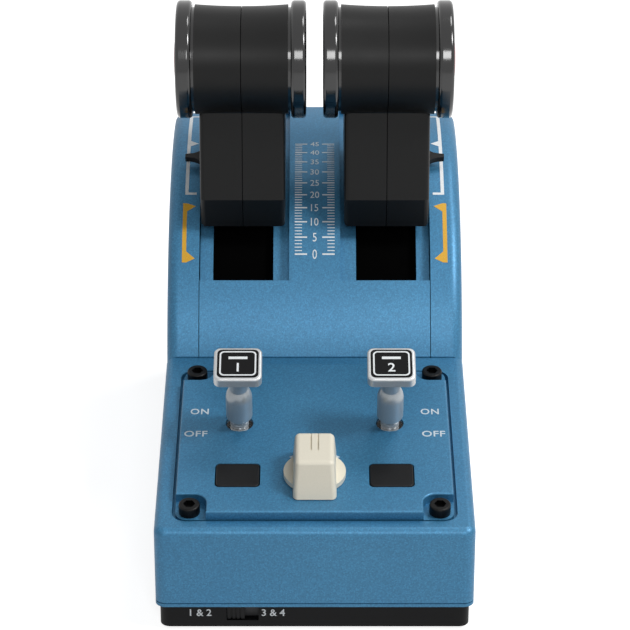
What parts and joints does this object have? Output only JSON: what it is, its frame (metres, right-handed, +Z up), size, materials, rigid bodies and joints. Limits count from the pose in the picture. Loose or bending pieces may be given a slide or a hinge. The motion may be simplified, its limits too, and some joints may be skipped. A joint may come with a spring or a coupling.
{
  "type": "throttle quadrant",
  "caption": "Desktop flight throttle quadrant: two thrust levers over a curved quadrant, with a sloping engine panel of toggles, rotary knob and push buttons.",
  "frame": {"origin": "centre of the footprint on the surface the rubber feet stand on", "axes": "+X to the user's right, along the levers' shaft; +Y away from the user; +Z up"},
  "size_m": [0.12, 0.224, 0.1975],
  "materials": {
    "blue_paint": "satin metallic paint over ABS",
    "black_base": "moulded black ABS",
    "rubber": "moulded rubber",
    "screw_steel": "zinc plated steel",
    "black_screw": "black oxide steel",
    "circuit_board": "solder mask on glass laminate",
    "switch_case": "moulded nylon",
    "chrome": "chrome plated brass",
    "socket_metal": "nickel plated shell",
    "frame_steel": "pressed zinc plated steel",
    "shaft_steel": "ground steel",
    "acetal": "acetal",
    "ivory_knob": "satin moulded ivory ABS",
    "black_key": "black ABS",
    "lever_shell": "fine textured black ABS",
    "lever_core": "glass filled nylon",
    "gloss_ring": "polished black ABS",
    "magnet": "nickel plated magnet",
    "red_button": "gloss red ABS",
    "toggle_metal": "satin turned metal",
    "cap_metal": "silver painted, black face"
  },
  "bodies": {
    "housing": {"base_tray": "black_base", "rubber_feet": "rubber", "base_screws": "screw_steel", "deck_housing": "blue_paint", "left_cheek": "blue_paint", "right_cheek": "blue_paint", "quadrant_cover": "blue_paint", "engine_panel": "blue_paint", "panel_screws": "black_screw", "panel_board": "circuit_board", "toggle_switches": "switch_case", "toggle_collars": "chrome", "rotary_switch": "switch_case", "button_switches": "switch_case", "main_board": "circuit_board", "usb_socket": "socket_metal", "slide_switch": "switch_case", "pivot_frame": "frame_steel", "pivot_shaft": "shaft_steel", "detent_sectors": "acetal", "shaft_spacers": "acetal", "sensor_boards": "circuit_board"},
    "left_lever": {"left_lever_core": "lever_core", "left_lever_bushes": "acetal", "left_lever_magnet": "magnet", "left_detent_roller": "shaft_steel", "left_slot_shutter": "black_base", "left_disconnect_switch": "switch_case", "left_inboard_shell": "lever_shell", "left_outboard_shell": "lever_shell", "left_inboard_ring": "gloss_ring", "left_outboard_ring": "gloss_ring", "left_inboard_cap": "lever_shell", "left_outboard_cap": "lever_shell"},
    "left_disconnect": {"left_disconnect_button": "red_button"},
    "left_toggle": {"left_toggle_bat": "toggle_metal", "left_toggle_cap": "cap_metal"},
    "left_key": {"left_push_button": "black_key"},
    "right_lever": {"right_lever_core": "lever_core", "right_lever_bushes": "acetal", "right_lever_magnet": "magnet", "right_detent_roller": "shaft_steel", "right_slot_shutter": "black_base", "right_disconnect_switch": "switch_case", "right_inboard_shell": "lever_shell", "right_outboard_shell": "lever_shell", "right_inboard_ring": "gloss_ring", "right_outboard_ring": "gloss_ring", "right_inboard_cap": "lever_shell", "right_outboard_cap": "lever_shell"},
    "right_disconnect": {"right_disconnect_button": "red_button"},
    "right_toggle": {"right_toggle_bat": "toggle_metal", "right_toggle_cap": "cap_metal"},
    "right_key": {"right_push_button": "black_key"},
    "rotary": {"rotary_knob": "ivory_knob", "rotary_shaft": "shaft_steel"},
    "slider": {"slide_knob": "black_key"}
  },
  "joints": [
    {"name": "left_lever_pivot", "type": "hinge", "parent": "housing", "child": "left_lever", "pos_m": [-0.0292, 0.0988, 0.0206], "axis": [-1, 0, 0], "range_deg": [-24.3, 17.7]},
    {"name": "left_disconnect_press", "type": "slide", "parent": "left_lever", "child": "left_disconnect", "axis": [1, 0, 0], "range_m": [0, 0.0015], "stiffness_N_per_m": 400, "springref_m": -0.001},
    {"name": "left_toggle_flip", "type": "hinge", "parent": "housing", "child": "left_toggle", "pos_m": [-0.0292, -0.0513, 0.05718], "axis": [-1, 0, 0], "range_deg": [0, 24]},
    {"name": "left_key_press", "type": "slide", "parent": "housing", "child": "left_key", "axis": [0, 0.1504, -0.9886], "range_m": [0, 0.0012], "stiffness_N_per_m": 400, "springref_m": -0.0008},
    {"name": "right_lever_pivot", "type": "hinge", "parent": "housing", "child": "right_lever", "pos_m": [0.0292, 0.0988, 0.0206], "axis": [-1, 0, 0], "range_deg": [-24.3, 17.7]},
    {"name": "right_disconnect_press", "type": "slide", "parent": "right_lever", "child": "right_disconnect", "axis": [-1, 0, 0], "range_m": [0, 0.0015], "stiffness_N_per_m": 400, "springref_m": -0.001},
    {"name": "right_toggle_flip", "type": "hinge", "parent": "housing", "child": "right_toggle", "pos_m": [0.0292, -0.0513, 0.05718], "axis": [-1, 0, 0], "range_deg": [0, 24]},
    {"name": "right_key_press", "type": "slide", "parent": "housing", "child": "right_key", "axis": [0, 0.1504, -0.9886], "range_m": [0, 0.0012], "stiffness_N_per_m": 400, "springref_m": -0.0008},
    {"name": "rotary_turn", "type": "hinge", "parent": "housing", "child": "rotary", "pos_m": [0, -0.08362, 0.04822], "axis": [0, -0.1504, 0.9886], "range_deg": [-50, 50]},
    {"name": "mode_slide", "type": "slide", "parent": "housing", "child": "slider", "axis": [1, 0, 0], "range_m": [0, 0.005]}
  ]
}
